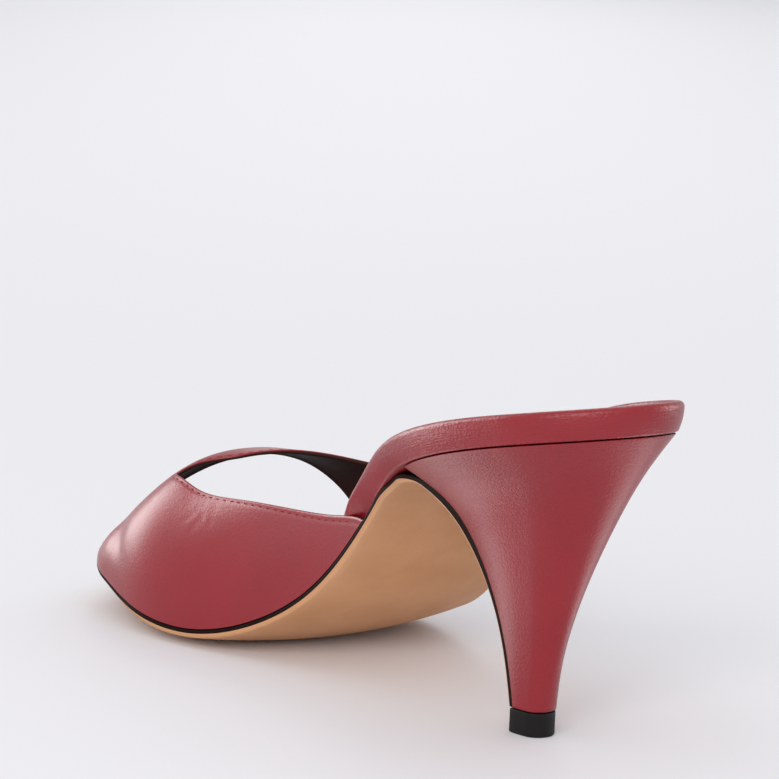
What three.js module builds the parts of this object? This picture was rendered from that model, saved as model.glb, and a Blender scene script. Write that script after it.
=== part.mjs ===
// A heeled mule sandal for the right foot, in millimetres.
// X runs from the heel to the toe, Y to the wearer's left, which is the medial side, and Z up.
import * as THREE from 'three';
import { mergeVertices } from 'three/addons/utils/BufferGeometryUtils.js';

// Driving dimensions of the last
const LENGTH = 207.6;
const SEAT_ROUND = 0.12;
const TOE_ROUND = 0.10;
const ARCH_TWIST = 5.3;
const ARCH_MIDDLE = 0.42;
const ARCH_REACH = 0.13;
const GLUE_GAP = 0.3;

// A row for each section of the last. along: share of the length. half: half width of the feather line,
// where upper and sole meet. bow: how far its middle lies to the medial side. rise: its height.
const LAST_SECTIONS = [
  { along: 0.00, half: 20.5, bow: 0.0, rise: 80.0 },
  { along: 0.12, half: 23.0, bow: 3.0, rise: 75.0 },
  { along: 0.25, half: 26.0, bow: 3.0, rise: 66.5 },
  { along: 0.33, half: 25.0, bow: -0.5, rise: 57.0 },
  { along: 0.41, half: 23.5, bow: -5.0, rise: 42.5 },
  { along: 0.50, half: 26.0, bow: -8.0, rise: 24.0 },
  { along: 0.60, half: 32.0, bow: -8.5, rise: 11.0 },
  { along: 0.70, half: 37.0, bow: -5.5, rise: 5.0 },
  { along: 0.80, half: 36.0, bow: 0.0, rise: 6.5 },
  { along: 0.88, half: 28.5, bow: 6.0, rise: 10.0 },
  { along: 0.94, half: 21.5, bow: 11.0, rise: 12.0 },
  { along: 1.00, half: 16.0, bow: 16.0, rise: 13.0 },
];

// Outsole: a thin leather sole with a crowned bottom, from the toe to the heel. There it turns down and
// runs on as a flap over the heel's breast.
const SOLE_START = 70;
const SOLE_START_INSET = 1.6;
const SOLE_START_FULL = 80;
const SOLE_EDGE = 2.2;
const SOLE_CROWN = 3.3;
const SOLE_CROWN_FROM = 60;
const SOLE_CROWN_FULL = 125;
const SOLE_CROWN_TO = 168;
const SOLE_BEVEL = 0.6;
const FLAP_TOP = 0.08;
const FLAP_RINGS = 16;
const BEND_RINGS = 6;
const BEND_PULL = 0.35;

// Footbed: padded and wrapped, thick round the seat and waist, thin and set in where the upper covers it
const RIM_THICK = 7.4;
const RIM_FLARE = 1.0;
const RIM_CORNER = 1.6;
const RIM_LIP = 1.2;
const RIM_LEAN_FROM = 15;
const RIM_LEAN_FULL = 60;
const FOREFOOT_THICK = 4.2;
const FOREFOOT_INSET = 1.9;
const INSET_FROM = 80;
const INSET_FULL = 89;
const TUCK_LEAST = 0.5;
const TUCK_FROM = 82;
const TUCK_FULL = 92;
const RIM_WIDE_TO = 86;
const RIM_NARROW_FROM = 93;
const THIN_FROM = 92;
const THIN_FULL = 128;
const TOE_THICK = 2.6;
const TOE_INSET = 2.2;
const TOE_INSET_FROM = 178;
const TOE_INSET_FULL = 203;

// Insole: the leather sock, let in behind the footbed's rolled edge and a little below it
const SOCK_THICK = 0.9;
const SOCK_MARGIN = 0.3;
const SOCK_SUNK = 0.7;

// Upper: one vamp band of lined leather
const WALL = 1.2;
const SECTION_POWER = 2.2;
const RIDGE_SHIFT = 0.9;
const VAMP_RIBS = 48;
const VAMP_STEPS = 14;

// A row for each section of the instep. along: share of the length. ridge: height above the feather line.
const INSTEP_SECTIONS = [
  { along: 0.41, ridge: 60.5 },
  { along: 0.50, ridge: 57.5 },
  { along: 0.60, ridge: 53.0 },
  { along: 0.70, ridge: 47.0 },
  { along: 0.76, ridge: 43.0 },
  { along: 0.82, ridge: 39.0 },
  { along: 0.88, ridge: 26.5 },
  { along: 0.94, ridge: 12.5 },
  { along: 1.00, ridge: 0.5 },
];

// A row for each rib of the vamp. turn: degrees round the section, from the medial feather line over the
// ridge to the lateral one. throat and toe: where the band's two edges cross that rib, from the seat's back.
const VAMP_EDGES = [
  { turn: 0, throat: 88.5, toe: 202 },
  { turn: 10, throat: 100, toe: 200.5 },
  { turn: 22, throat: 113, toe: 199.5 },
  { turn: 35, throat: 128.5, toe: 197 },
  { turn: 46, throat: 145.5, toe: 195 },
  { turn: 55, throat: 164.5, toe: 192.5 },
  { turn: 62, throat: 172.5, toe: 190 },
  { turn: 68, throat: 168.5, toe: 187 },
  { turn: 75, throat: 162, toe: 183 },
  { turn: 83, throat: 159.5, toe: 179 },
  { turn: 92, throat: 158, toe: 175 },
  { turn: 104, throat: 155, toe: 170 },
  { turn: 116, throat: 150, toe: 167 },
  { turn: 128, throat: 142, toe: 165.5 },
  { turn: 145, throat: 125, toe: 163.5 },
  { turn: 162, throat: 106.5, toe: 161.5 },
  { turn: 180, throat: 95, toe: 156 },
];

// Heel: a covered block. A row for each level. down: share of the way from the seat to the tip.
// back and breast: where it starts and ends along the shoe, the sole's flap included. half: half width.
// flap: thickness of the flap, which is pared down towards the tip.
const HEEL_LEVELS = [
  { down: 0.00, back: 0.7, breast: 62.6, half: 25.8, flap: 1.6 },
  { down: 0.12, back: 6.5, breast: 60.3, half: 17.5, flap: 2.1 },
  { down: 0.30, back: 15.0, breast: 55.0, half: 11.8, flap: 1.9 },
  { down: 0.55, back: 24.5, breast: 49.7, half: 7.4, flap: 0.9 },
  { down: 0.80, back: 31.0, breast: 46.0, half: 5.2, flap: 0.7 },
  { down: 1.00, back: 34.0, breast: 43.0, half: 5.1, flap: 0.7 },
];
const HEEL_SWAY_POWER = 1.5;
const HEEL_TIP_SWAY = -0.6;
const HEEL_RINGS = 26;
const HEEL_SIDE_STEPS = 14;
const TOP_PIECE_THICK = 6.0;

// Faceting of the plates
const PLATE_STATIONS = 60;
const PLATE_STEPS = 6;
const CORNER_STEPS = 3;
const MERGE_DISTANCE = 1e-3;

const RED_CALF = { color: 0x94393f, roughness: 0.45, metalness: 0 };
const TAN_LEATHER = { color: 0xa97c57, roughness: 0.6, metalness: 0 };
const BROWN_LINING = { color: 0x4f3839, roughness: 0.55, metalness: 0 };
const BLACK_RUBBER = { color: 0x242323, roughness: 0.7, metalness: 0 };

const { clamp, degToRad, lerp, smoothstep } = THREE.MathUtils;

// A natural cubic spline through one column of a table, as a function of another column.
function spline(rows, from, to) {
  const at = rows.map((row) => row[from]);
  const value = rows.map((row) => row[to]);
  const last = rows.length - 1;
  const bend = new Array(rows.length).fill(0);
  const carry = new Array(rows.length).fill(0);
  for (let i = 1; i < last; i++) {
    const before = at[i] - at[i - 1];
    const after = at[i + 1] - at[i];
    const pivot = 2 * (before + after) - before * carry[i - 1];
    const turn = (value[i + 1] - value[i]) / after - (value[i] - value[i - 1]) / before;
    carry[i] = after / pivot;
    bend[i] = (6 * turn - before * bend[i - 1]) / pivot;
  }
  for (let i = last - 1; i > 0; i--) {
    bend[i] -= carry[i] * bend[i + 1];
  }
  return (position) => {
    let i = 0;
    while (i < last - 1 && position > at[i + 1]) {
      i++;
    }
    const width = at[i + 1] - at[i];
    const b = (position - at[i]) / width;
    const a = 1 - b;
    const curve = ((a ** 3 - a) * bend[i] + (b ** 3 - b) * bend[i + 1]) * width ** 2 / 6;
    return a * value[i] + b * value[i + 1] + curve;
  };
}

const halfWidth = spline(LAST_SECTIONS, 'along', 'half');
const bow = spline(LAST_SECTIONS, 'along', 'bow');
const rise = spline(LAST_SECTIONS, 'along', 'rise');
const ridge = spline(INSTEP_SECTIONS, 'along', 'ridge');
const heelBack = spline(HEEL_LEVELS, 'down', 'back');
const heelBreast = spline(HEEL_LEVELS, 'down', 'breast');
const heelHalf = spline(HEEL_LEVELS, 'down', 'half');
const flapThickness = spline(HEEL_LEVELS, 'down', 'flap');

// The feather line's section at a share of the length, closed round at the heel and the toe.
function lastSection(along) {
  const intoSeat = Math.max(0, 1 - along / SEAT_ROUND);
  const intoToe = Math.max(0, 1 - (1 - along) / TOE_ROUND);
  const ends = Math.sqrt(1 - intoSeat ** 2) * Math.sqrt(1 - intoToe ** 2);
  const arch = Math.exp(-(((along - ARCH_MIDDLE) / ARCH_REACH) ** 2));
  return {
    x: LENGTH * along,
    half: halfWidth(along) * ends,
    bow: bow(along),
    rise: rise(along),
    twist: ARCH_TWIST * arch,
  };
}

// Height of the last's underside over a point in plan, higher on the medial side of the arch.
function bedHeight(x, y) {
  const section = lastSection(clamp(x / LENGTH, 0, 1));
  const across = (y - section.bow) / Math.max(section.half, 1);
  return section.rise + section.twist * clamp(across, -1, 1);
}

// A point lifted off the last's underside, square to its profile except at the upright back of the seat.
function onBed(plan, lift) {
  const along = clamp(plan.x / LENGTH, 0, 1);
  const step = 0.005;
  const slope = (rise(along + step) - rise(along - step)) / (2 * step * LENGTH);
  const lean = smoothstep(plan.x, RIM_LEAN_FROM, RIM_LEAN_FULL);
  const up = new THREE.Vector3(-slope * lean, 0, 1).normalize();
  const foot = new THREE.Vector3(plan.x, plan.y, bedHeight(plan.x, plan.y));
  return foot.addScaledVector(up, lift);
}

// A point of the feather line in plan, moved square to it by inset. sweep runs from 0 at the heel to PI at
// the toe, and side is 1 for medial and -1 for lateral.
function rim(sweep, side, inset) {
  const at = (angle) => {
    const section = lastSection((1 - Math.cos(angle)) / 2);
    const reach = side * Math.sign(Math.sin(angle)) * section.half;
    return new THREE.Vector2(section.x, section.bow + reach);
  };
  const step = 0.01;
  const forward = at(sweep + step).sub(at(sweep - step)).normalize();
  const inward = new THREE.Vector2(side * forward.y, -side * forward.x);
  return at(sweep).addScaledVector(inward, inset);
}

// Skins a row of equal rings and closes the ends that are asked for. A ring's first and last points face
// each other across the piece, and so on inwards, which is how the end is closed. Vertices that fall
// together are joined and triangles without area are dropped, so a row may also run to a point or an edge.
function skin(rings, closesStart, closesEnd) {
  const size = rings[0].length;
  const triangles = [];
  for (let i = 0; i < rings.length - 1; i++) {
    for (let j = 0; j < size; j++) {
      const a = i * size + j;
      const b = i * size + (j + 1) % size;
      triangles.push([a, b, b + size], [a, b + size, a + size]);
    }
  }
  const close = (first, order) => {
    for (let j = 0; j < (size - 1) / 2; j++) {
      const across = size - 1 - j;
      triangles.push(order([first + j, first + j + 1, first + across - 1]));
      triangles.push(order([first + j, first + across - 1, first + across]));
    }
  };
  if (closesStart) {
    close(0, (triangle) => triangle.reverse());
  }
  if (closesEnd) {
    close((rings.length - 1) * size, (triangle) => triangle);
  }
  const raw = new THREE.BufferGeometry();
  const coordinates = rings.flat().flatMap((point) => point.toArray());
  raw.setAttribute('position', new THREE.Float32BufferAttribute(coordinates, 3));
  raw.setIndex(triangles.flat());
  const surface = mergeVertices(raw, MERGE_DISTANCE);
  const joined = Array.from(surface.index.array);
  const kept = [];
  for (let i = 0; i < joined.length; i += 3) {
    const corners = joined.slice(i, i + 3);
    if (new Set(corners).size === 3) {
      kept.push(...corners);
    }
  }
  surface.setIndex(kept);
  surface.computeVertexNormals();
  return surface;
}

function piece(name, surface, finish) {
  const mesh = new THREE.Mesh(surface, new THREE.MeshStandardMaterial(finish));
  mesh.name = name;
  return mesh;
}

// One cross section of a plate that follows the last's underside. levels go down its edge from the top,
// each with an inset from the feather line and a lift off the underside. crown bulges the bottom.
function plateRing(sweep, levels, crown) {
  const row = (level, side, bulge) => {
    const from = rim(sweep, side, level.inset);
    const to = rim(sweep, -side, level.inset);
    return Array.from({ length: PLATE_STEPS + 1 }, (_, step) => {
      const across = step / PLATE_STEPS;
      const plan = from.clone().lerp(to, across);
      return onBed(plan, level.lift - bulge * 4 * across * (1 - across));
    });
  };
  const edge = (side) => levels.slice(1, -1).map((level) => {
    return onBed(rim(sweep, side, level.inset), level.lift);
  });
  return [
    ...row(levels[0], 1, 0),
    ...edge(-1),
    ...row(levels[levels.length - 1], -1, crown),
    ...edge(1).reverse(),
  ];
}

function plateRings(startSweep, levelsAt, crownAt) {
  const rings = [];
  for (let i = 0; i <= PLATE_STATIONS; i++) {
    const sweep = lerp(startSweep, Math.PI, i / PLATE_STATIONS);
    const x = LENGTH * (1 - Math.cos(sweep)) / 2;
    rings.push(plateRing(sweep, levelsAt(x), crownAt(x)));
  }
  return rings;
}

// One level of the flap that the sole lays over the heel's breast, in the order of a plate's cross section.
function flapRing(down) {
  const row = (setBack) => {
    const level = heelRing(down, setBack);
    const lateral = level[0];
    const medial = level[level.length - 1];
    return Array.from({ length: PLATE_STEPS + 1 }, (_, step) => {
      return medial.clone().lerp(lateral, step / PLATE_STEPS);
    });
  };
  return [...row(flapThickness(down)), ...row(0).reverse()];
}

// The rings between two rows of rings, which turn smoothly out of the one and into the other.
function bendRings(before, from, to, after) {
  const lanes = from.map((start, j) => {
    const pull = BEND_PULL * start.distanceTo(to[j]);
    const leave = start.clone().sub(before[j]).setLength(pull).add(start);
    const arrive = to[j].clone().sub(after[j]).setLength(pull).add(to[j]);
    return new THREE.CubicBezierCurve3(start, leave, arrive, to[j]);
  });
  return Array.from({ length: BEND_RINGS - 1 }, (_, i) => {
    return lanes.map((lane) => lane.getPoint((i + 1) / BEND_RINGS));
  });
}

function makeOutsole() {
  const levels = (x) => {
    const inset = SOLE_START_INSET * (1 - smoothstep(x, SOLE_START, SOLE_START_FULL));
    return [
      { inset, lift: 0 },
      { inset: inset + SOLE_BEVEL, lift: -SOLE_EDGE },
    ];
  };
  const startSweep = Math.acos(1 - 2 * SOLE_START / LENGTH);
  const crown = (x) => {
    const atToe = smoothstep(x, SOLE_CROWN_TO, LENGTH);
    return SOLE_CROWN * smoothstep(x, SOLE_CROWN_FROM, SOLE_CROWN_FULL) * (1 - atToe);
  };
  const sole = plateRings(startSweep, levels, crown);
  sole.flat().forEach((point) => {
    point.z = Math.max(point.z, 0);
  });
  const flap = Array.from({ length: FLAP_RINGS + 1 }, (_, i) => {
    return flapRing(lerp(1, FLAP_TOP, i / FLAP_RINGS));
  });
  const bend = bendRings(flap[FLAP_RINGS - 1], flap[FLAP_RINGS], sole[0], sole[1]);
  return piece('outsole', skin([...flap, ...bend, ...sole], true, false), TAN_LEATHER);
}

function footbedThickness(x) {
  const waist = lerp(RIM_THICK, FOREFOOT_THICK, smoothstep(x, THIN_FROM, THIN_FULL));
  return lerp(waist, TOE_THICK, smoothstep(x, TOE_INSET_FROM, TOE_INSET_FULL));
}

function footbedInset(x) {
  const forefoot = FOREFOOT_INSET * smoothstep(x, INSET_FROM, INSET_FULL);
  return forefoot + TOE_INSET * smoothstep(x, TOE_INSET_FROM, TOE_INSET_FULL);
}

// The footbed's edge leans out a little round the seat and its top corner is rolled, with the sock's bed
// behind the roll. At the waist the edge is tucked in behind the end of the upper, from below.
function footbedLevels(x) {
  const thick = footbedThickness(x);
  const tucked = footbedInset(x);
  const wide = lerp(-RIM_FLARE, tucked, smoothstep(x, RIM_WIDE_TO, RIM_NARROW_FROM));
  const tuckHeight = lerp(TUCK_LEAST, thick - RIM_CORNER, smoothstep(x, TUCK_FROM, TUCK_FULL));
  const levels = [{ inset: wide + RIM_CORNER + RIM_LIP, lift: thick - SOCK_THICK - SOCK_SUNK }];
  for (let k = 0; k <= CORNER_STEPS; k++) {
    const angle = Math.PI / 2 * (1 - k / CORNER_STEPS);
    levels.push({
      inset: wide + RIM_CORNER * (1 - Math.cos(angle)),
      lift: GLUE_GAP + thick - RIM_CORNER * (1 - Math.sin(angle)),
    });
  }
  levels.push({ inset: tucked, lift: GLUE_GAP + tuckHeight });
  levels.push({ inset: tucked, lift: GLUE_GAP });
  return levels;
}

function makeFootbed() {
  const rings = plateRings(0, footbedLevels, () => 0);
  return piece('footbed', skin(rings, false, false), RED_CALF);
}

function makeInsole() {
  const levels = (x) => {
    const top = footbedLevels(x)[0];
    const inset = top.inset + SOCK_MARGIN;
    return [
      { inset, lift: top.lift + GLUE_GAP + SOCK_THICK },
      { inset, lift: top.lift + GLUE_GAP },
    ];
  };
  return piece('insole', skin(plateRings(0, levels, () => 0), false, false), BROWN_LINING);
}

// A point of the last's upper side: x from the back of the seat, turn in degrees round the section.
function instep(x, turn) {
  const section = lastSection(clamp(x / LENGTH, 0, 1));
  const angle = degToRad(turn);
  const sideways = Math.sign(Math.cos(angle)) * Math.abs(Math.cos(angle)) ** (2 / SECTION_POWER);
  const upward = Math.max(Math.sin(angle), 0) ** (2 / SECTION_POWER);
  return new THREE.Vector3(
    x,
    section.bow + section.half * sideways + RIDGE_SHIFT * Math.sin(angle) ** 2,
    section.rise + section.twist * sideways + ridge(x / LENGTH) * upward,
  );
}

// The same point moved inwards, square to the surface, by a depth.
function insideInstep(x, turn, depth) {
  const reach = 0.5;
  const low = clamp(turn, reach, 180 - reach);
  const forward = instep(x + reach, low).sub(instep(x - reach, low));
  const over = instep(x, low + reach).sub(instep(x, low - reach));
  const inward = forward.cross(over).normalize();
  return instep(x, turn).addScaledVector(inward, depth);
}

function makeUpper() {
  const throat = spline(VAMP_EDGES, 'turn', 'throat');
  const toe = spline(VAMP_EDGES, 'turn', 'toe');
  const rings = [];
  for (let rib = 0; rib <= VAMP_RIBS; rib++) {
    const turn = 180 * rib / VAMP_RIBS;
    const places = Array.from({ length: VAMP_STEPS + 1 }, (_, step) => {
      return lerp(toe(turn), throat(turn), step / VAMP_STEPS);
    });
    const outer = places.map((x) => instep(x, turn));
    const inner = places.map((x) => insideInstep(x, turn, WALL)).reverse();
    const ring = [...outer, ...inner];
    if (rib === 0 || rib === VAMP_RIBS) {
      ring.forEach((point) => {
        point.z = bedHeight(point.x, point.y) + GLUE_GAP;
      });
    }
    rings.push(ring);
  }
  return piece('upper', skin(rings, true, true), RED_CALF);
}

// One level of the heel, from its lateral breast corner round the back to the medial one. It keeps the
// seat's outline, drawn in to the level's own length and width. setBack moves the breast back.
function heelRing(down, setBack) {
  const top = HEEL_LEVELS[0];
  const back = heelBack(down);
  const breast = heelBreast(down) - setBack;
  const half = heelHalf(down);
  const tipHeight = TOP_PIECE_THICK + GLUE_GAP;
  const ring = [];
  for (let i = -HEEL_SIDE_STEPS; i <= HEEL_SIDE_STEPS; i++) {
    const forward = (Math.abs(i) / HEEL_SIDE_STEPS) ** 2;
    const seat = lastSection(lerp(top.back, top.breast, forward) / LENGTH);
    const start = lastSection(top.back / LENGTH).half;
    const width = half * Math.sqrt(Math.max(0, seat.half ** 2 - start ** 2)) / top.half;
    const x = lerp(back, breast, forward);
    const sway = lerp(HEEL_TIP_SWAY, seat.bow, (1 - down) ** HEEL_SWAY_POWER);
    const y = sway + Math.sign(i) * width;
    ring.push(new THREE.Vector3(x, y, lerp(bedHeight(x, y), tipHeight, down)));
  }
  return ring;
}

function makeHeel() {
  const rings = [];
  for (let level = 0; level <= HEEL_RINGS; level++) {
    const down = level / HEEL_RINGS;
    rings.push(heelRing(down, flapThickness(down) + GLUE_GAP));
  }
  return piece('heel', skin(rings, true, true), RED_CALF);
}

function makeTopPiece() {
  const top = heelRing(1, 0).map((point) => point.setZ(TOP_PIECE_THICK));
  const bottom = top.map((point) => point.clone().setZ(0));
  return piece('top_piece', skin([top, bottom], true, true), BLACK_RUBBER);
}

const shoe = new THREE.Group();
shoe.add(makeOutsole(), makeFootbed(), makeInsole(), makeUpper(), makeHeel(), makeTopPiece());

// The origin is on the floor, under the middle of the shoe.
const middle = new THREE.Box3().setFromObject(shoe).getCenter(new THREE.Vector3());
shoe.position.set(-middle.x, -middle.y, 0);

export default shoe;
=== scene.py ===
"""A red leather mule sandal on a tall covered heel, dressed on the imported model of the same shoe.

Sizes are in millimetres from the back of the seat at floor level: X to the toe, Y to the medial side, Z up.
"""
import bisect
import math

import bmesh
import bpy
import numpy as np
from mathutils import Matrix, Vector
from mathutils.geometry import interpolate_bezier


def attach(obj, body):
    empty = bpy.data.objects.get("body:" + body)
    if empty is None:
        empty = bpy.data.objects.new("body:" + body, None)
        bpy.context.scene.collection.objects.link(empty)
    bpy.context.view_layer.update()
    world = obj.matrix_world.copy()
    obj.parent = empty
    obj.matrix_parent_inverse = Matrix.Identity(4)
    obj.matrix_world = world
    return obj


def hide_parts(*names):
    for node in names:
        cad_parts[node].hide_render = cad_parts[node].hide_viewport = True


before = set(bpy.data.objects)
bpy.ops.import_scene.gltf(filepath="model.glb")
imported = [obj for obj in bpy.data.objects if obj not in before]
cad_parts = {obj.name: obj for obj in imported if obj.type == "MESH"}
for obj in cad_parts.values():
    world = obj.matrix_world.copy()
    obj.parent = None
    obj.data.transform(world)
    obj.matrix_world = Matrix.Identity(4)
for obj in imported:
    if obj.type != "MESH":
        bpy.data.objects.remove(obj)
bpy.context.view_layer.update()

# Outsole. A sole cut from vegetable-tanned leather, glued under the lasted upper and the footbed. At the
# heel it turns down and runs on as a thin flap over the heel's breast. Its edge is trimmed, pared thin at
# the toe, inked and waxed.

MM = 0.001
MODEL_ORIGIN = Vector((103.3, -3.309, 0))

LENGTH = 207.6
SEAT_ROUND = 0.12
TOE_ROUND = 0.10
ARCH_TWIST = 5.3
ARCH_MIDDLE = 0.42
ARCH_REACH = 0.13
LEAN_FROM = 15
LEAN_FULL = 60
LAST_SECTIONS = (  # share of the length, half width, bow to the medial side, rise off the floor
    (0.00, 20.5, 0.0, 80.0),
    (0.12, 23.0, 3.0, 75.0),
    (0.25, 26.0, 3.0, 66.5),
    (0.33, 25.0, -0.5, 57.0),
    (0.41, 23.5, -5.0, 42.5),
    (0.50, 26.0, -8.0, 24.0),
    (0.60, 32.0, -8.5, 11.0),
    (0.70, 37.0, -5.5, 5.0),
    (0.80, 36.0, 0.0, 6.5),
    (0.88, 28.5, 6.0, 10.0),
    (0.94, 21.5, 11.0, 12.0),
    (1.00, 16.0, 16.0, 13.0),
)


def spline(points):
    """The natural cubic spline through a row of (position, value) pairs."""
    at = [float(point[0]) for point in points]
    value = [float(point[1]) for point in points]
    count = len(at)
    system = np.eye(count)
    turn = np.zeros(count)
    for i in range(1, count - 1):
        before = at[i] - at[i - 1]
        after = at[i + 1] - at[i]
        system[i, i - 1:i + 2] = before, 2 * (before + after), after
        turn[i] = 6 * ((value[i + 1] - value[i]) / after - (value[i] - value[i - 1]) / before)
    bend = np.linalg.solve(system, turn).tolist()

    def curve(position):
        i = min(max(bisect.bisect_right(at, position) - 1, 0), count - 2)
        width = at[i + 1] - at[i]
        b = (position - at[i]) / width
        a = 1 - b
        arch = ((a**3 - a) * bend[i] + (b**3 - b) * bend[i + 1]) * width**2 / 6
        return a * value[i] + b * value[i + 1] + arch

    return curve


half_width = spline([(row[0], row[1]) for row in LAST_SECTIONS])
bow = spline([(row[0], row[2]) for row in LAST_SECTIONS])
rise = spline([(row[0], row[3]) for row in LAST_SECTIONS])


def clamp(value, low, high):
    return min(max(value, low), high)


def ease(value, start, end):
    """0 before start, 1 after end, and a smooth step between."""
    share = clamp((value - start) / (end - start), 0, 1)
    return share * share * (3 - 2 * share)


def last_section(along):
    """Half width, bow, rise and medial twist of the last's underside at a share of its length."""
    into_seat = max(0, 1 - along / SEAT_ROUND)
    into_toe = max(0, 1 - (1 - along) / TOE_ROUND)
    ends = math.sqrt(1 - into_seat**2) * math.sqrt(1 - into_toe**2)
    twist = ARCH_TWIST * math.exp(-(((along - ARCH_MIDDLE) / ARCH_REACH) ** 2))
    return half_width(along) * ends, bow(along), rise(along), twist


def bed_height(x, y):
    half, middle, height, twist = last_section(clamp(x / LENGTH, 0, 1))
    return height + twist * clamp((y - middle) / max(half, 1), -1, 1)


def on_bed(plan, lift):
    """A point lifted off the last's underside, square to its profile except at the upright seat back."""
    along = clamp(plan.x / LENGTH, 0, 1)
    step = 0.005
    slope = (rise(along + step) - rise(along - step)) / (2 * step * LENGTH)
    up = Vector((-slope * ease(plan.x, LEAN_FROM, LEAN_FULL), 0, 1)).normalized()
    return Vector((plan.x, plan.y, bed_height(plan.x, plan.y))) + up * lift


def rim(sweep, side, inset):
    """A point of the feather line in plan, moved square to it. sweep is 0 at the heel and pi at the toe."""
    def at(angle):
        along = (1 - math.cos(angle)) / 2
        half, middle, _, _ = last_section(along)
        return Vector((LENGTH * along, middle + side * math.copysign(half, math.sin(angle))))

    step = 0.01
    forward = (at(sweep + step) - at(sweep - step)).normalized()
    return at(sweep) + Vector((side * forward.y, -side * forward.x)) * inset


def plate_ring(sweep, levels, steps, crown=0):
    """One cross section of a plate under the last: top row, lateral edge, bottom row, medial edge."""
    def row(level, side, bulge):
        inset, lift = level
        start = rim(sweep, side, inset)
        end = rim(sweep, -side, inset)
        shares = [k / steps for k in range(steps + 1)]
        return [on_bed(start.lerp(end, s), lift - bulge * 4 * s * (1 - s)) for s in shares]

    def edge(side):
        return [on_bed(rim(sweep, side, inset), lift) for inset, lift in levels[1:-1]]

    return row(levels[0], 1, 0) + edge(-1) + row(levels[-1], -1, crown) + edge(1)[::-1]


HEEL_SWAY_POWER = 1.5
HEEL_TIP_SWAY = -0.6
HEEL_TIP_HEIGHT = 6.3
HEEL_LEVELS = (  # share of the way down, back, breast with the flap, half width, the flap's thickness
    (0.00, 0.7, 62.6, 25.8, 1.6),
    (0.12, 6.5, 60.3, 17.5, 2.1),
    (0.30, 15.0, 55.0, 11.8, 1.9),
    (0.55, 24.5, 49.7, 7.4, 0.9),
    (0.80, 31.0, 46.0, 5.2, 0.7),
    (1.00, 34.0, 43.0, 5.1, 0.7),
)
heel_back = spline([(row[0], row[1]) for row in HEEL_LEVELS])
heel_breast = spline([(row[0], row[2]) for row in HEEL_LEVELS])
heel_half = spline([(row[0], row[3]) for row in HEEL_LEVELS])
flap_thickness = spline([(row[0], row[4]) for row in HEEL_LEVELS])


def heel_point(down, set_back, forward, side):
    """A point of the heel at a level, from 0 at its back to 1 at its breast, which set_back moves back."""
    _, seat_back, seat_breast, seat_half, _ = HEEL_LEVELS[0]
    start = last_section(seat_back / LENGTH)[0]
    half, middle, _, _ = last_section((seat_back + (seat_breast - seat_back) * forward) / LENGTH)
    width = heel_half(down) * math.sqrt(max(0, half**2 - start**2)) / seat_half
    back = heel_back(down)
    x = back + (heel_breast(down) - set_back - back) * forward
    y = HEEL_TIP_SWAY + (middle - HEEL_TIP_SWAY) * (1 - down) ** HEEL_SWAY_POWER + side * width
    top = bed_height(x, y)
    return Vector((x, y, top + (HEEL_TIP_HEIGHT - top) * down))


SOLE_START = 70
SOLE_START_INSET = 1.6
SOLE_START_FULL = 80
SOLE_CROWN = 3.3
SOLE_CROWN_FROM = 60
SOLE_CROWN_FULL = 125
SOLE_CROWN_TO = 168
SOLE_EDGE = (  # inset and lift down the edge, from its top corner to the turn into the bottom
    (0.15, 0.0),
    (0.02, -0.12),
    (0.00, -0.5),
    (0.01, -0.95),
    (0.04, -1.35),
    (0.14, -1.75),
    (0.30, -2.04),
    (0.60, -2.2),
)
SOLE_EDGE_HEIGHT = -SOLE_EDGE[-1][1]
SOLE_PARED_FROM = 158
SOLE_PARED_FULL = 190
SOLE_PARED = 0.4
SOLE_TOE_BEVEL = 1.2
INKED_CELLS = 3
SOLE_STEPS = 28
SOLE_STATIONS = 150
FLAP_TOP = 0.08
FLAP_EDGE = (0.05, 0.45, 0.86, 0.92, 0.96, 0.99)
FLAP_BEDDED = 0.4
FLAP_STATIONS = 36
BEND_STATIONS = 12
BEND_PULL = 0.35


def sole_ring(sweep):
    x = LENGTH * (1 - math.cos(sweep)) / 2
    start_inset = SOLE_START_INSET * (1 - ease(x, SOLE_START, SOLE_START_FULL))
    pared = ease(x, SOLE_PARED_FROM, SOLE_PARED_FULL)
    levels = []
    for inset, lift in SOLE_EDGE:
        bevel = SOLE_TOE_BEVEL * pared * (-lift / SOLE_EDGE_HEIGHT) ** 3
        levels.append((inset + start_inset + bevel, lift * (1 - SOLE_PARED * pared)))
    crown = SOLE_CROWN * ease(x, SOLE_CROWN_FROM, SOLE_CROWN_FULL) * (1 - ease(x, SOLE_CROWN_TO, LENGTH))
    ring = plate_ring(sweep, levels, SOLE_STEPS, crown)
    return [Vector((point.x, point.y, max(point.z, 0))) for point in ring]


def flap_ring(down):
    """One level of the flap over the heel's breast, in the order of a plate's cross section."""
    def corner(side, share):
        return heel_point(down, (flap_thickness(down) + FLAP_BEDDED) * (1 - share), 1, side)

    def row(side, share):
        start = corner(side, share)
        return [start.lerp(corner(-side, share), k / SOLE_STEPS) for k in range(SOLE_STEPS + 1)]

    def edge(side):
        return [corner(side, share) for share in FLAP_EDGE]

    return row(1, 0) + edge(-1) + row(-1, 1) + edge(1)[::-1]


def bend_rings(before, start, end, after):
    """The rings that turn from one row of rings into another, each point on a smooth curve."""
    lanes = []
    for j in range(len(start)):
        pull = BEND_PULL * (end[j] - start[j]).length
        leave = start[j] + (start[j] - before[j]).normalized() * pull
        arrive = end[j] + (end[j] - after[j]).normalized() * pull
        lanes.append(interpolate_bezier(start[j], leave, arrive, end[j], BEND_STATIONS + 1))
    return [[lane[i] for lane in lanes] for i in range(1, BEND_STATIONS)]


SEWN_WITHIN = 0.002
SHARP_FROM = 50


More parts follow.
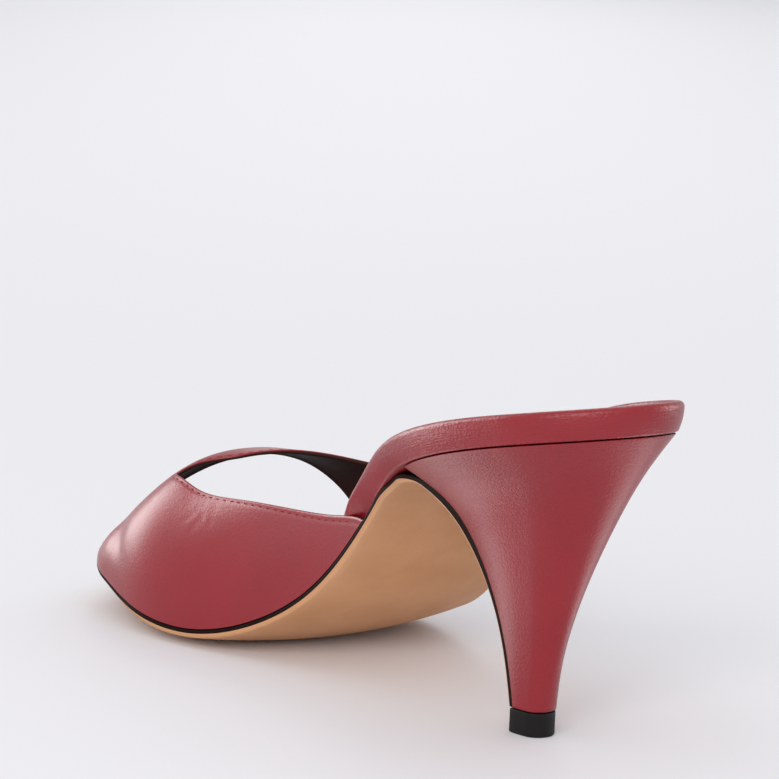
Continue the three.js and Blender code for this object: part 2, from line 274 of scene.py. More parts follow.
def skinned(rings, finish_of=lambda i, j: 0):
    """A mesh over equal closed rings: a grid is laid on them and sewn up where its corners meet.

    The map "pattern" runs along the rings' first points and round one of the rings, in millimetres.
    """
    columns = len(rings) - 1
    rows = len(rings[0])
    measured = rings[columns // 4]
    along = [0.0]
    for i in range(columns):
        along.append(along[-1] + (rings[i + 1][0] - rings[i][0]).length)
    around = [0.0]
    for j in range(rows):
        around.append(around[-1] + (measured[(j + 1) % rows] - measured[j]).length)
    bm = bmesh.new()
    bmesh.ops.create_grid(bm, x_segments=columns, y_segments=rows, size=0.5)
    pattern = bm.loops.layers.uv.new("pattern")

    def cell(place):
        return (place.x + 0.5) * columns, (place.y + 0.5) * rows

    for face in bm.faces:
        i, j = cell(face.calc_center_median())
        face.material_index = finish_of(int(i), int(j))
        for loop in face.loops:
            i, j = cell(loop.vert.co)
            loop[pattern].uv = along[round(i)], around[round(j)]
    for vert in bm.verts:
        i, j = cell(vert.co)
        vert.co = (rings[round(i)][round(j) % rows] - MODEL_ORIGIN) * MM
    bmesh.ops.remove_doubles(bm, verts=bm.verts, dist=SEWN_WITHIN * MM)
    bmesh.ops.dissolve_degenerate(bm, edges=bm.edges, dist=SEWN_WITHIN * MM)
    bmesh.ops.holes_fill(bm, edges=[edge for edge in bm.edges if edge.is_boundary], sides=0)
    bmesh.ops.recalc_face_normals(bm, faces=bm.faces)
    return bm


def finished_piece(name, bm, *materials):
    """Turns a bmesh into a smooth shaded object with those materials."""
    mesh = bpy.data.meshes.new(name)
    bm.to_mesh(mesh)
    bm.free()
    for material in materials:
        mesh.materials.append(material)
    mesh.polygons.foreach_set("use_smooth", [True] * len(mesh.polygons))
    mesh.set_sharp_from_angle(angle=math.radians(SHARP_FROM))
    piece = bpy.data.objects.new(name, mesh)
    bpy.context.scene.collection.objects.link(piece)
    return piece


def linear(hex_colour):
    """An sRGB hex colour as the linear RGBA that a shader takes."""
    def channel(shift):
        value = (hex_colour >> shift & 255) / 255
        return value / 12.92 if value <= 0.04045 else ((value + 0.055) / 1.055) ** 2.4

    return channel(16), channel(8), channel(0), 1


def add_node(tree, kind, inputs, **settings):
    """Adds a node with its settings, and sets each input or links it to another node's output."""
    node = tree.nodes.new(kind)
    for name, value in settings.items():
        setattr(node, name, value)
    for name, value in inputs.items():
        if isinstance(value, bpy.types.NodeSocket):
            tree.links.new(value, node.inputs[name])
        else:
            node.inputs[name].default_value = value
    return node


def new_material(name):
    """An empty material with its node tree and its shader."""
    material = bpy.data.materials.new(name)
    material.use_nodes = True
    return material, material.node_tree, material.node_tree.nodes["Principled BSDF"]


# Vegetable-tanned leather, buffed and lightly waxed: a warm tan that clouds a little, with short fibres.
tan_leather, tree, shader = new_material("vegetable_tanned_leather_buffed")
TAN = 0xCB976D
TAN_CLOUD = 0xC38F65
FIBRE = 0xAC7D58
CLOUD_MM = 14
FIBRE_MM = 0.45
place = add_node(tree, "ShaderNodeTexCoord", {}).outputs["Object"]
clouds = add_node(tree, "ShaderNodeTexNoise", {"Vector": place, "Scale": 1 / (CLOUD_MM * MM), "Detail": 4})
drawn = add_node(tree, "ShaderNodeMapping", {"Vector": place, "Scale": (0.3, 1, 1)})
fibres = add_node(
    tree, "ShaderNodeTexNoise",
    {"Vector": drawn.outputs["Vector"], "Scale": 1 / (FIBRE_MM * MM), "Detail": 3},
)
cloud_share = add_node(
    tree, "ShaderNodeMapRange", {"Value": clouds.outputs["Fac"], "From Min": 0.35, "From Max": 0.65},
)
clouded = add_node(
    tree, "ShaderNodeMix",
    {0: cloud_share.outputs["Result"], 6: linear(TAN), 7: linear(TAN_CLOUD)}, data_type="RGBA",
)
fibre_share = add_node(
    tree, "ShaderNodeMapRange",
    {"Value": fibres.outputs["Fac"], "From Min": 0.3, "From Max": 0.7, "To Min": 0.0, "To Max": 0.16},
)
fibred = add_node(
    tree, "ShaderNodeMix",
    {0: fibre_share.outputs["Result"], 6: clouded.outputs[2], 7: linear(FIBRE)}, data_type="RGBA",
)
sole_bump = add_node(
    tree, "ShaderNodeBump", {"Height": fibres.outputs["Fac"], "Strength": 0.25, "Distance": 0.05 * MM},
)
sole_gloss = add_node(
    tree, "ShaderNodeMapRange",
    {"Value": clouds.outputs["Fac"], "From Min": 0.3, "From Max": 0.7, "To Min": 0.44, "To Max": 0.56},
)
tree.links.new(fibred.outputs[2], shader.inputs["Base Color"])
tree.links.new(sole_gloss.outputs["Result"], shader.inputs["Roughness"])
tree.links.new(sole_bump.outputs["Normal"], shader.inputs["Normal"])
shader.inputs["Specular IOR Level"].default_value = 0.25

# Edge ink, waxed and burnished: nearly black brown with a low sheen and faint rub marks.
edge_ink, tree, shader = new_material("edge_ink_waxed")
INK = 0x120907
INK_RUBBED = 0x1D100D
RUB_MM = 1.2
place = add_node(tree, "ShaderNodeTexCoord", {}).outputs["Object"]
rubs = add_node(tree, "ShaderNodeTexNoise", {"Vector": place, "Scale": 1 / (RUB_MM * MM), "Detail": 3})
ink = add_node(
    tree, "ShaderNodeMix",
    {0: rubs.outputs["Fac"], 6: linear(INK), 7: linear(INK_RUBBED)}, data_type="RGBA",
)
ink_bump = add_node(
    tree, "ShaderNodeBump", {"Height": rubs.outputs["Fac"], "Strength": 0.2, "Distance": 0.08 * MM},
)
tree.links.new(ink.outputs[2], shader.inputs["Base Color"])
tree.links.new(ink_bump.outputs["Normal"], shader.inputs["Normal"])
shader.inputs["Roughness"].default_value = 0.6
shader.inputs["Specular IOR Level"].default_value = 0.06

sole_sweep = math.acos(1 - 2 * SOLE_START / LENGTH)
sole_rings = [
    sole_ring(sole_sweep + (math.pi - sole_sweep) * i / SOLE_STATIONS) for i in range(SOLE_STATIONS + 1)
]
flap_rings = [flap_ring(1 + (FLAP_TOP - 1) * i / FLAP_STATIONS) for i in range(FLAP_STATIONS + 1)]
bent_rings = bend_rings(flap_rings[-2], flap_rings[-1], sole_rings[0], sole_rings[1])
sole_ring_size = len(sole_rings[0])


def sole_finish(i, j):
    """1 on the inked upper part of both edges, and on the hidden side that the ink runs onto."""
    return int(j < SOLE_STEPS + INKED_CELLS or j >= sole_ring_size - INKED_CELLS)


outsole = finished_piece(
    "outsole_leather", skinned(flap_rings + bent_rings + sole_rings, sole_finish), tan_leather, edge_ink,
)
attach(outsole, "root")
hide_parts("outsole")

# Footbed. A shaped board with a thin layer of foam, wrapped in the red calf, which is turned in underneath.
# Its rim shows round the seat and the waist. The leather there is stretched over the edge and left soft.

GLUE_GAP = 0.3
RIM_THICK = 7.4
RIM_FLARE = 1.0
RIM_CORNER = 1.6
RIM_LIP = 1.2
RIM_SWELL = 0.25
RIM_FOOT = 0.7
FOREFOOT_THICK = 4.2
FOREFOOT_INSET = 1.9
INSET_FROM = 80
INSET_FULL = 89
TUCK_LEAST = 0.5
TUCK_FROM = 84
TUCK_FULL = 98
RIM_WIDE_TO = 87
RIM_NARROW_FROM = 99
LIP_FROM = 62
LIP_FULL = 100
THIN_FROM = 92
THIN_FULL = 128
TOE_THICK = 2.6
TOE_INSET = 2.2
TOE_INSET_FROM = 178
TOE_INSET_FULL = 203
SOCK_THICK = 0.9
SOCK_SUNK = 0.7
FOOTBED_STATIONS = 220
FOOTBED_STEPS = 16
CORNER_STEPS = 7
SIDE_STEPS = 8
LIP_ROLL = (  # inset off the lip and depth below the rim's top, from the sock's bed up to the roll
    (0.05, 0.9),
    (0.3, 0.3),
    (0.8, 0.04),
)


def footbed_edge(x):
    """Thickness, insets of the tucked foot, the rim's widest and its inner lip, height of the tuck."""
    waist = RIM_THICK + (FOREFOOT_THICK - RIM_THICK) * ease(x, THIN_FROM, THIN_FULL)
    at_toe = ease(x, TOE_INSET_FROM, TOE_INSET_FULL)
    thick = waist + (TOE_THICK - waist) * at_toe
    tucked = FOREFOOT_INSET * ease(x, INSET_FROM, INSET_FULL) + TOE_INSET * at_toe
    wide = -RIM_FLARE + (tucked + RIM_FLARE) * ease(x, RIM_WIDE_TO, RIM_NARROW_FROM)
    tuck = TUCK_LEAST + (thick - RIM_CORNER - TUCK_LEAST) * ease(x, TUCK_FROM, TUCK_FULL)
    lip = (FOREFOOT_INSET + RIM_FLARE) * ease(x, LIP_FROM, LIP_FULL) - RIM_FLARE + TOE_INSET * at_toe
    return thick, tucked, wide, lip + RIM_CORNER + RIM_LIP, tuck


def footbed_levels(x):
    """Inset and lift round the rim: the sock's bed, the rolled top, the padded side, the turned-in foot."""
    thick, tucked, wide, lip, tuck = footbed_edge(x)
    top = thick + GLUE_GAP
    levels = [(lip, thick - SOCK_THICK - SOCK_SUNK)]
    for inset, depth in LIP_ROLL:
        levels.append((lip - inset, top - depth))
    for k in range(CORNER_STEPS + 1):
        angle = math.pi / 2 * (1 - k / CORNER_STEPS)
        levels.append((wide + RIM_CORNER * (1 - math.cos(angle)), top - RIM_CORNER * (1 - math.sin(angle))))
    shoulder = top - RIM_CORNER
    for k in range(1, SIDE_STEPS + 1):
        share = k / SIDE_STEPS
        swell = RIM_SWELL * (1 - ease(x, INSET_FROM, INSET_FULL)) * 4 * share * (1 - share)
        lift = shoulder + (GLUE_GAP + tuck - shoulder) * share
        levels.append((wide + (tucked - wide) * share - swell, lift))
    levels.append((tucked + RIM_FOOT * 0.1, GLUE_GAP + min(RIM_FOOT, tuck * 0.6)))
    levels.append((tucked + RIM_FOOT * 0.4, GLUE_GAP + RIM_FOOT * 0.2))
    levels.append((tucked + RIM_FOOT, GLUE_GAP))
    return levels


RED = 0x8E1722
RED_CLOUD = 0x87131E
RED_CLOUD_MM = 22
PORE_MM = 0.35


def red_calf(name, pebble_mm, pebble_depth):
    """Aniline-dyed calf leather, boarded to a fine grain: deep red with a satin sheen and soft clouding.

    Returns the material, its tree, its shader and the height of its grain, from which the bump is made.
    """
    material, tree, shader = new_material(name)
    place = add_node(tree, "ShaderNodeTexCoord", {}).outputs["Object"]
    clouds = add_node(
        tree, "ShaderNodeTexNoise", {"Vector": place, "Scale": 1 / (RED_CLOUD_MM * MM), "Detail": 3},
    )
    pores = add_node(tree, "ShaderNodeTexNoise", {"Vector": place, "Scale": 1 / (PORE_MM * MM), "Detail": 2})
    pebbles = add_node(
        tree, "ShaderNodeTexVoronoi",
        {"Vector": place, "Scale": 1 / (pebble_mm * MM), "Smoothness": 0.6, "Randomness": 1},
        feature="SMOOTH_F1",
    )
    cloud_share = add_node(
        tree, "ShaderNodeMapRange", {"Value": clouds.outputs["Fac"], "From Min": 0.3, "From Max": 0.7},
    )
    colour = add_node(
        tree, "ShaderNodeMix",
        {0: cloud_share.outputs["Result"], 6: linear(RED), 7: linear(RED_CLOUD)}, data_type="RGBA",
    )
    gloss = add_node(
        tree, "ShaderNodeMapRange",
        {"Value": pores.outputs["Fac"], "From Min": 0.3, "From Max": 0.7, "To Min": 0.31, "To Max": 0.39},
    )
    height = add_node(
        tree, "ShaderNodeMath",
        {0: pebbles.outputs["Distance"], 1: pebble_depth, 2: 0.0}, operation="MULTIPLY_ADD",
    )
    tree.links.new(pores.outputs["Fac"], height.inputs[2])
    tree.links.new(colour.outputs[2], shader.inputs["Base Color"])
    tree.links.new(gloss.outputs["Result"], shader.inputs["Roughness"])
    shader.inputs["Specular IOR Level"].default_value = 0.5
    return material, tree, shader, height.outputs["Value"]


# Calf drawn over the rim: fine lines run along it, and across it where the waist bends the leather.
rim_calf, tree, shader, grain = red_calf("aniline_calf_drawn_over_rim", pebble_mm=0.8, pebble_depth=-1.6)
DRAWN_LENGTH_MM = 5.0
DRAWN_WIDTH_MM = 0.45
DRAWN_DEPTH = 3.0
WAIST_BEND_FROM = 66
WAIST_BEND_FULL = 84
surface = add_node(tree, "ShaderNodeUVMap", {}, uv_map="pattern").outputs["UV"]
drawn_out = add_node(
    tree, "ShaderNodeMapping", {"Vector": surface, "Scale": (1 / DRAWN_LENGTH_MM, 1 / DRAWN_WIDTH_MM, 1)},
)
drawn_lines = add_node(
    tree, "ShaderNodeTexNoise",
    {"Vector": drawn_out.outputs["Vector"], "Scale": 1, "Detail": 3, "Distortion": 0.4},
)
bent_across = add_node(
    tree, "ShaderNodeMapping", {"Vector": surface, "Scale": (1 / DRAWN_WIDTH_MM, 1 / DRAWN_LENGTH_MM, 1)},
)
bent_lines = add_node(
    tree, "ShaderNodeTexNoise",
    {"Vector": bent_across.outputs["Vector"], "Scale": 1, "Detail": 3, "Distortion": 0.6},
)
distance = add_node(tree, "ShaderNodeSeparateXYZ", {"Vector": surface}).outputs["X"]
at_bend = add_node(
    tree, "ShaderNodeMapRange",
    {"Value": distance, "From Min": WAIST_BEND_FROM, "From Max": WAIST_BEND_FULL},
    interpolation_type="SMOOTHSTEP",
)
lines = add_node(
    tree, "ShaderNodeMix",
    {0: at_bend.outputs["Result"], 2: drawn_lines.outputs["Fac"], 3: bent_lines.outputs["Fac"]},
)
rim_height = add_node(
    tree, "ShaderNodeMath", {0: lines.outputs[0], 1: DRAWN_DEPTH, 2: grain}, operation="MULTIPLY_ADD",
)
rim_bump = add_node(
    tree, "ShaderNodeBump", {"Height": rim_height.outputs["Value"], "Strength": 0.5, "Distance": 0.09 * MM},
)
tree.links.new(rim_bump.outputs["Normal"], shader.inputs["Normal"])

footbed_rings = []
for i in range(FOOTBED_STATIONS + 1):
    sweep = math.pi * i / FOOTBED_STATIONS
    x = LENGTH * (1 - math.cos(sweep)) / 2
    footbed_rings.append(plate_ring(sweep, footbed_levels(x), FOOTBED_STEPS))
footbed = finished_piece("footbed_wrap", skinned(footbed_rings), rim_calf)
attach(footbed, "root")
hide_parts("footbed")

# Insole. A sock of thin brown lining leather, glued on the footbed's top inside its rolled edge. It covers
# the whole bed from the seat to the toe.

SOCK_MARGIN = 0.3
SOCK_ROUND = 0.35
SOCK_ROUND_MIDDLE = 0.1


def sock_levels(x):
    thick, _, _, lip, _ = footbed_edge(x)
    inset = lip + SOCK_MARGIN
    top = thick + GLUE_GAP - SOCK_SUNK
    return [
        (inset + SOCK_ROUND, top),
        (inset + SOCK_ROUND_MIDDLE, top - SOCK_ROUND_MIDDLE),
        (inset, top - SOCK_ROUND),
        (inset, top - SOCK_THICK),
    ]


# Lining leather, dyed through and left matt: dark brown with soft clouds and fine pores.
lining_leather, tree, shader = new_material("lining_leather_matt")
LINING = 0x3A211E
LINING_WORN = 0x482925
LINING_CLOUD_MM = 9
LINING_PORE_MM = 0.6
place = add_node(tree, "ShaderNodeTexCoord", {}).outputs["Object"]
lining_clouds = add_node(
    tree, "ShaderNodeTexNoise", {"Vector": place, "Scale": 1 / (LINING_CLOUD_MM * MM), "Detail": 4},
)
lining_pores = add_node(
    tree, "ShaderNodeTexVoronoi", {"Vector": place, "Scale": 1 / (LINING_PORE_MM * MM)}, feature="SMOOTH_F1",
)
lining_colour = add_node(
    tree, "ShaderNodeMix",
    {0: lining_clouds.outputs["Fac"], 6: linear(LINING), 7: linear(LINING_WORN)}, data_type="RGBA",
)
lining_gloss = add_node(
    tree, "ShaderNodeMapRange", {"Value": lining_clouds.outputs["Fac"], "To Min": 0.55, "To Max": 0.7},
)
lining_bump = add_node(
    tree, "ShaderNodeBump",
    {"Height": lining_pores.outputs["Distance"], "Strength": 0.35, "Distance": 0.08 * MM},
)
tree.links.new(lining_colour.outputs[2], shader.inputs["Base Color"])
tree.links.new(lining_gloss.outputs["Result"], shader.inputs["Roughness"])
tree.links.new(lining_bump.outputs["Normal"], shader.inputs["Normal"])
shader.inputs["Specular IOR Level"].default_value = 0.08

sock_rings = []
for i in range(FOOTBED_STATIONS + 1):
    sweep = math.pi * i / FOOTBED_STATIONS
    x = LENGTH * (1 - math.cos(sweep)) / 2
    sock_rings.append(plate_ring(sweep, sock_levels(x), FOOTBED_STEPS))
insole = finished_piece("insole_sock", skinned(sock_rings), lining_leather)
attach(insole, "root")
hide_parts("insole")

# Upper. One vamp band of red calf, lined with the brown leather, lasted over the forefoot and glued down
# under its edge. Throat and toe edges are folded in and stitched through the lining.

WALL = 1.2
SECTION_POWER = 2.2
RIDGE_SHIFT = 0.9
INSTEP_RIDGE = (  # share of the length, height of the ridge above the feather line
    (0.41, 60.5),
    (0.50, 57.5),
    (0.60, 53.0),
    (0.70, 47.0),
    (0.76, 43.0),
    (0.82, 39.0),
    (0.88, 26.5),
    (0.94, 12.5),
    (1.00, 0.5),
)
VAMP_EDGES = (  # degrees round the section from the medial feather line, throat edge, toe edge
    (0, 88.5, 202),
    (10, 100, 200.5),
    (22, 113, 199.5),
    (35, 128.5, 197),
    (46, 145.5, 195),
    (55, 164.5, 192.5),
    (62, 172.5, 190),
    (68, 168.5, 187),
    (75, 162, 183),
    (83, 159.5, 179),
    (92, 158, 175),
    (104, 155, 170),
    (116, 150, 167),
    (128, 142, 165.5),
    (145, 125, 163.5),
    (162, 106.5, 161.5),
    (180, 95, 156),
)
ridge = spline(INSTEP_RIDGE)
throat_edge = spline([(row[0], row[1]) for row in VAMP_EDGES])
toe_edge = spline([(row[0], row[2]) for row in VAMP_EDGES])
VAMP_RIBS = 220
EDGE_CELLS = 16
EDGE_CELL = 0.32
BODY_CELLS = 70
FOLD_CELLS = 8
LINING_CELLS = 30
RED_FOLD_CELLS = 3


def instep(x, turn):
    """A point of the last's upper side: x from the back of the seat, degrees round the section."""
    half, middle, height, twist = last_section(clamp(x / LENGTH, 0, 1))
    angle = math.radians(turn)
    sideways = math.copysign(abs(math.cos(angle)) ** (2 / SECTION_POWER), math.cos(angle))
    upward = max(math.sin(angle), 0) ** (2 / SECTION_POWER)
    y = middle + half * sideways + RIDGE_SHIFT * math.sin(angle) ** 2
    return Vector((x, y, height + twist * sideways + ridge(x / LENGTH) * upward))


def outward(x, turn):
    """The direction square to the instep there, away from the foot."""
    reach = 0.5
    low = clamp(turn, reach, 180 - reach)
    forward = instep(x + reach, low) - instep(x - reach, low)
    over = instep(x, low + reach) - instep(x, low - reach)
    return over.cross(forward).normalized()


def edge_slant(edge, turn):
    """How much longer a step along the ribs is than the same step square to that edge."""
    reach = 0.5
    low = clamp(turn, reach, 180 - reach)
    run = instep(edge(low), low + reach) - instep(edge(low), low - reach)
    return math.hypot(1, (edge(low + reach) - edge(low - reach)) / run.length)


TOE_TROUGH_DEPTH = 0.85
TOE_TROUGH_BACK = 28.5
TOE_TROUGH_NEARER = 0.47
TOE_TROUGH_WIDTH = 4.0
TOE_TROUGH_TURN = 32
TOE_TROUGH_SPREAD = 17
VAMP_CREASES = (  # place along the shoe, degrees round it, slant in degrees, length, depth
    (157, 44, 70, 4.5, 0.09),
    (153, 41, 110, 5.0, 0.10),
    (150, 38, 60, 4.0, 0.11),
    (147, 41, 85, 4.0, 0.08),
    (151, 34, 100, 4.5, 0.09),
    (146, 35, 65, 3.5, 0.08),
    (155, 37, 120, 3.5, 0.07),
)
CREASE_WIDTH = 0.7
CREASE_MM_PER_DEGREE = 0.75
STITCH_IN = 1.05
STITCH_SEAT = 0.12
STITCH_SEAT_WIDTH = 0.45


def bell(value, middle, width):
    return math.exp(-(((value - middle) / width) ** 2))


def vamp_relief(x, turn, from_throat, from_toe):
    """How far the drawn leather lies below the last's surface: toe trough, small creases, stitch seats."""
    back = TOE_TROUGH_BACK - TOE_TROUGH_NEARER * turn
    lower = TOE_TROUGH_DEPTH * bell(toe_edge(turn) - x, back, TOE_TROUGH_WIDTH)
    lower *= bell(turn, TOE_TROUGH_TURN, TOE_TROUGH_SPREAD)
    for crease_x, crease_turn, slant, length, depth in VAMP_CREASES:
        ahead = x - crease_x
        over = (turn - crease_turn) * CREASE_MM_PER_DEGREE
        cosine = math.cos(math.radians(slant))
        sine = math.sin(math.radians(slant))
        along = ahead * cosine + over * sine
        across = over * cosine - ahead * sine
        lower += depth * bell(along, 0, length / 2) * bell(across, 0, CREASE_WIDTH)
    seats = bell(from_throat, STITCH_IN, STITCH_SEAT_WIDTH) + bell(from_toe, STITCH_IN, STITCH_SEAT_WIDTH)
    return lower + STITCH_SEAT * seats


def vamp_ring(turn):
    """One rib of the vamp: outside from toe to throat, the fold, the lining back, the other fold."""
    throat = throat_edge(turn)
    toe = toe_edge(turn)
    throat_slant = edge_slant(throat_edge, turn)
    toe_slant = edge_slant(toe_edge, turn)
    fold = WALL / 2
    near_toe = [toe - toe_slant * (fold + EDGE_CELL * k) for k in range(EDGE_CELLS)]
    near_throat = [throat + throat_slant * (fold + EDGE_CELL * k) for k in range(EDGE_CELLS)]
    first = near_toe[-1]
    last = near_throat[-1]
    body = [first + (last - first) * k / BODY_CELLS for k in range(1, BODY_CELLS)]
    places = [(x, 0) for x in near_toe + body + near_throat[::-1]]
    for k in range(1, FOLD_CELLS):
        angle = math.pi * k / FOLD_CELLS
        places.append((throat + throat_slant * fold * (1 - math.sin(angle)), fold * (1 - math.cos(angle))))
    inside_start = throat + throat_slant * fold
    inside_end = toe - toe_slant * fold
    for k in range(LINING_CELLS + 1):
        places.append((inside_start + (inside_end - inside_start) * k / LINING_CELLS, WALL))
    for k in range(1, FOLD_CELLS):
        angle = math.pi * k / FOLD_CELLS
        places.append((toe - toe_slant * fold * (1 - math.sin(angle)), fold * (1 + math.cos(angle))))
    ring = []
    for x, depth in places:
        out = outward(x, turn)
        lower = vamp_relief(x, turn, (x - throat) / throat_slant, (toe - x) / toe_slant)
        point = instep(x, turn) - out * (depth + lower)
        if turn in (0, 180):
            point.z = bed_height(point.x, point.y) + GLUE_GAP
        ring.append(point)
    return ring


OUTSIDE_CELLS = 2 * EDGE_CELLS + BODY_CELLS - 2
LINING_FROM = OUTSIDE_CELLS + RED_FOLD_CELLS
LINING_TO = OUTSIDE_CELLS + 2 * FOLD_CELLS + LINING_CELLS - RED_FOLD_CELLS


def vamp_finish(i, j):
    """1 where the lining shows, inside the leather that is folded in."""
    return int(LINING_FROM <= j < LINING_TO)


# Calf lasted over the forefoot: pulled smooth, with the grain low.
vamp_calf, tree, shader, grain = red_calf("aniline_calf_lasted", pebble_mm=0.7, pebble_depth=-1.2)
vamp_bump = add_node(tree, "ShaderNodeBump", {"Height": grain, "Strength": 0.5, "Distance": 0.05 * MM})
tree.links.new(vamp_bump.outputs["Normal"], shader.inputs["Normal"])

vamp_rings = [vamp_ring(180 * rib / VAMP_RIBS) for rib in range(VAMP_RIBS + 1)]
upper = finished_piece("vamp", skinned(vamp_rings, vamp_finish), vamp_calf, lining_leather)
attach(upper, "root")
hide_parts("upper")

# Stitching of the vamp. A single row of bonded thread in the leather's own red along each folded edge,
# each stitch pulled down into its seat.

STITCH_PITCH = 2.9
STITCH_LENGTH = 2.1
STITCH_THICK = 0.5
STITCH_FROM = 3
STITCH_TO = 177
STITCH_SAMPLES = 1200


def seam_points(edge, side):
    """Where the stitches of an edge lie: place, direction along the row and direction off the leather."""
    row = []
    for k in range(STITCH_SAMPLES + 1):
        turn = STITCH_FROM + (STITCH_TO - STITCH_FROM) * k / STITCH_SAMPLES
        x = edge(turn) + side * STITCH_IN * edge_slant(edge, turn)
        out = outward(x, turn)
        row.append((instep(x, turn) - out * vamp_relief(x, turn, STITCH_IN, STITCH_IN), out))
    spots = []
    walked = 0.0
    for (point, out), (after, _) in zip(row, row[1:]):
        step = after - point
        if walked >= STITCH_PITCH:
            walked -= STITCH_PITCH
            spots.append((point, step.normalized(), out))
        walked += step.length
    return spots


# Bonded polyester thread, dyed to the leather: its strands show a little, and it has no gloss to speak of.
thread, tree, shader = new_material("bonded_polyester_thread")
THREAD = 0x76111A
THREAD_LIGHT = 0x84151F
STRAND_MM = 0.2
place = add_node(tree, "ShaderNodeTexCoord", {}).outputs["Object"]
strands = add_node(tree, "ShaderNodeTexNoise", {"Vector": place, "Scale": 1 / (STRAND_MM * MM), "Detail": 1})
thread_colour = add_node(
    tree, "ShaderNodeMix",
    {0: strands.outputs["Fac"], 6: linear(THREAD), 7: linear(THREAD_LIGHT)}, data_type="RGBA",
)
tree.links.new(thread_colour.outputs[2], shader.inputs["Base Color"])
shader.inputs["Roughness"].default_value = 0.5
shader.inputs["Specular IOR Level"].default_value = 0.12

bm = bmesh.new()
for point, along_row, out in seam_points(throat_edge, 1) + seam_points(toe_edge, -1):
    across = out.cross(along_row)
    turned = Matrix((along_row, across, out)).transposed().to_4x4()
    turned.translation = (point - MODEL_ORIGIN) * MM
    scale = Matrix.Diagonal((STITCH_LENGTH * MM, STITCH_THICK * MM, STITCH_THICK * MM, 1))
    bmesh.ops.create_uvsphere(bm, u_segments=8, v_segments=5, radius=0.5, matrix=turned @ scale)
stitching = finished_piece("vamp_stitching", bm, thread)
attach(stitching, "root")

# Heel. A moulded heel block covered in the red calf, which is stretched on wet, so its grain is nearly
# flat. The cover is turned over the block's edges and lies close under the footbed's rim.

HEEL_LEVEL_STEPS = 90
HEEL_SIDE_STEPS = 44
HEEL_BREAST_STEPS = 10
HEEL_EDGE_ROUND = 0.6
CORNER_FROM = 40


def heel_ring(down, set_back):
    """One level of the heel, from its lateral breast corner round the back and over the breast."""
    shares = [(k / HEEL_SIDE_STEPS) ** 2 for k in range(HEEL_SIDE_STEPS + 1)]
    lateral = [heel_point(down, set_back, share, -1) for share in shares[:0:-1]]
    medial = [heel_point(down, set_back, share, 1) for share in shares]
    breast = [medial[-1].lerp(lateral[0], k / HEEL_BREAST_STEPS) for k in range(1, HEEL_BREAST_STEPS)]
    return lateral + medial + breast


def round_edges(bm, width):
    """Rounds the edges where two faces meet at a corner."""
    corner = math.radians(CORNER_FROM)
    sharp = [edge for edge in bm.edges if edge.is_manifold and edge.calc_face_angle() > corner]
    bmesh.ops.bevel(
        bm, geom=sharp, offset=width * MM, segments=4, profile=0.5, affect="EDGES", material=-1,
        clamp_overlap=True,
    )


# Calf stretched wet over the block: its grain is drawn out until it is nearly flat.
heel_calf, tree, shader, grain = red_calf("aniline_calf_stretched_wet", pebble_mm=0.6, pebble_depth=-1.0)
heel_bump = add_node(tree, "ShaderNodeBump", {"Height": grain, "Strength": 0.6, "Distance": 0.08 * MM})
tree.links.new(heel_bump.outputs["Normal"], shader.inputs["Normal"])

heel_downs = [level / HEEL_LEVEL_STEPS for level in range(HEEL_LEVEL_STEPS + 1)]
heel_rings = [heel_ring(down, flap_thickness(down) + GLUE_GAP) for down in heel_downs]
bm = skinned(heel_rings)
round_edges(bm, HEEL_EDGE_ROUND)
heel = finished_piece("heel_cover", bm, heel_calf)
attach(heel, "root")
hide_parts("heel")

# Top piece. A small tip of moulded black rubber that takes the wear. It is pinned under the heel and the
# end of the sole's flap, and has their outline.

TOP_PIECE_THICK = 6.0
TOP_PIECE_STEPS = 6
TOP_PIECE_ROUND = 0.45

# Rubber, moulded and left matt: black with a fine uneven skin.
rubber, tree, shader = new_material("moulded_black_rubber")
RUBBER = 0x171616
RUBBER_WORN = 0x211F1F
SKIN_MM = 0.5
place = add_node(tree, "ShaderNodeTexCoord", {}).outputs["Object"]
skin_noise = add_node(
    tree, "ShaderNodeTexNoise", {"Vector": place, "Scale": 1 / (SKIN_MM * MM), "Detail": 3},
)
rubber_colour = add_node(
    tree, "ShaderNodeMix",
    {0: skin_noise.outputs["Fac"], 6: linear(RUBBER), 7: linear(RUBBER_WORN)}, data_type="RGBA",
)
rubber_bump = add_node(
    tree, "ShaderNodeBump", {"Height": skin_noise.outputs["Fac"], "Strength": 0.3, "Distance": 0.06 * MM},
)
tree.links.new(rubber_colour.outputs[2], shader.inputs["Base Color"])
tree.links.new(rubber_bump.outputs["Normal"], shader.inputs["Normal"])
shader.inputs["Roughness"].default_value = 0.55
shader.inputs["Specular IOR Level"].default_value = 0.12

tip_ring = heel_ring(1, 0)
top_piece_rings = []
for k in range(TOP_PIECE_STEPS + 1):
    z = TOP_PIECE_THICK * (1 - k / TOP_PIECE_STEPS)
    top_piece_rings.append([Vector((point.x, point.y, z)) for point in tip_ring])
bm = skinned(top_piece_rings)
round_edges(bm, TOP_PIECE_ROUND)
top_piece = finished_piece("top_piece_rubber", bm, rubber)
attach(top_piece, "root")
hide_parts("top_piece")

# Floor. A sweep of pale matt paper under the shoe.

FLOOR_SIZE = 12.0
PAPER = 0xECECEF
floor_paper, tree, shader = new_material("pale_paper_sweep")
shader.inputs["Base Color"].default_value = linear(PAPER)
shader.inputs["Roughness"].default_value = 0.9
shader.inputs["Specular IOR Level"].default_value = 0.1
bm = bmesh.new()
bmesh.ops.create_grid(bm, x_segments=1, y_segments=1, size=FLOOR_SIZE / 2)
floor = finished_piece("floor", bm, floor_paper)

# Camera. A long lens behind the shoe on its medial side, a little above it and rolled a little.

